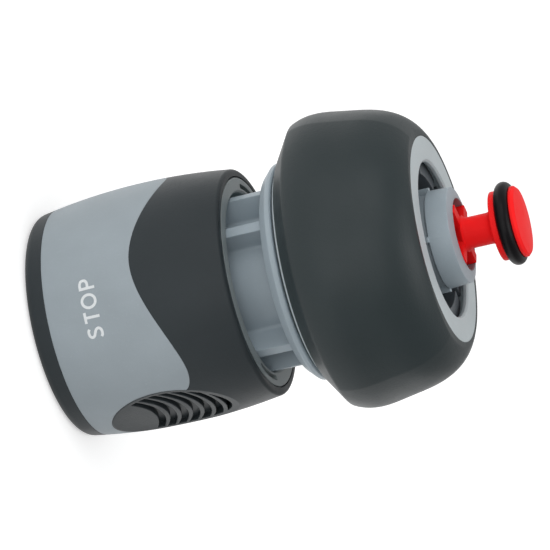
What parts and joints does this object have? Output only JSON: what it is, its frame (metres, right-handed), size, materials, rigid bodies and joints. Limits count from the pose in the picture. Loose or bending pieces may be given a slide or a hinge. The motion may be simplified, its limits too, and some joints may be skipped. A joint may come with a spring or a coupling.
{
  "type": "garden hose quick connector",
  "caption": "Garden hose end connector: sprung release sleeve, locking jaws, water-stop plunger with rubber ring, and a screwed nut that clamps the hose on its tail.",
  "frame": {"origin": "On the connector's axis, in the plane of the socket mouth that it stands on", "axes": "+Z runs along the axis from the socket to the hose, +X points to the side with the printed panel"},
  "size_m": [0.0466, 0.0463, 0.0757],
  "materials": {
    "body_grey": "satin moulded plastic",
    "jaw_plastic": "satin",
    "spring_steel": "drawn wire",
    "dark_grip": "soft matt moulding",
    "light_panel": "satin",
    "pale_nut": "satin",
    "red_plastic": "gloss",
    "black_rubber": "smooth rubber"
  },
  "bodies": {
    "coupler": {"main_body": "body_grey", "front_collar": "body_grey", "release_spring": "spring_steel"},
    "sleeve": {"sleeve_shell": "dark_grip", "sleeve_panel": "light_panel", "sleeve_rim": "light_panel"},
    "jaw_1": {"locking_jaw_1": "jaw_plastic"},
    "jaw_2": {"locking_jaw_2": "jaw_plastic"},
    "jaw_3": {"locking_jaw_3": "jaw_plastic"},
    "collet": {"hose_collet": "body_grey"},
    "nut": {"nut_core": "pale_nut", "nut_grip": "dark_grip"},
    "plunger": {"valve_plunger": "red_plastic", "plunger_ring": "black_rubber"}
  },
  "joints": [
    {"name": "sleeve_slide", "type": "slide", "parent": "coupler", "child": "sleeve", "axis": [0, 0, 1], "range_m": [0, 0.0055], "stiffness_N_per_m": 1000, "springref_m": -0.005, "deforming": ["release_spring"]},
    {"name": "jaw_slide_1", "type": "slide", "parent": "coupler", "child": "jaw_1", "axis": [0.6428, -0.766, 0], "range_m": [0, 0.0012]},
    {"name": "jaw_slide_2", "type": "slide", "parent": "coupler", "child": "jaw_2", "axis": [0.342, 0.9397, 0], "range_m": [0, 0.0012]},
    {"name": "jaw_slide_3", "type": "slide", "parent": "coupler", "child": "jaw_3", "axis": [-0.9848, -0.1736, 0], "range_m": [0, 0.0012]},
    {"name": "collet_slide", "type": "slide", "parent": "coupler", "child": "collet", "axis": [0, 0, 1], "range_m": [0, 0.0075]},
    {"name": "nut_turn", "type": "hinge", "parent": "collet", "child": "nut", "pos_m": [0, 0, 0.05], "axis": [0, 0, 1], "range_deg": [0, 900]},
    {"name": "plunger_slide", "type": "slide", "parent": "coupler", "child": "plunger", "axis": [0, 0, 1], "range_m": [-0.00635, 0]}
  ],
  "couplings": [
    {"joint": "jaw_slide_1", "follows": "sleeve_slide", "ratio": 0.21818},
    {"joint": "jaw_slide_2", "follows": "sleeve_slide", "ratio": 0.21818},
    {"joint": "jaw_slide_3", "follows": "sleeve_slide", "ratio": 0.21818},
    {"joint": "collet_slide", "follows": "nut_turn", "m_per_rad": 0.00047746}
  ]
}
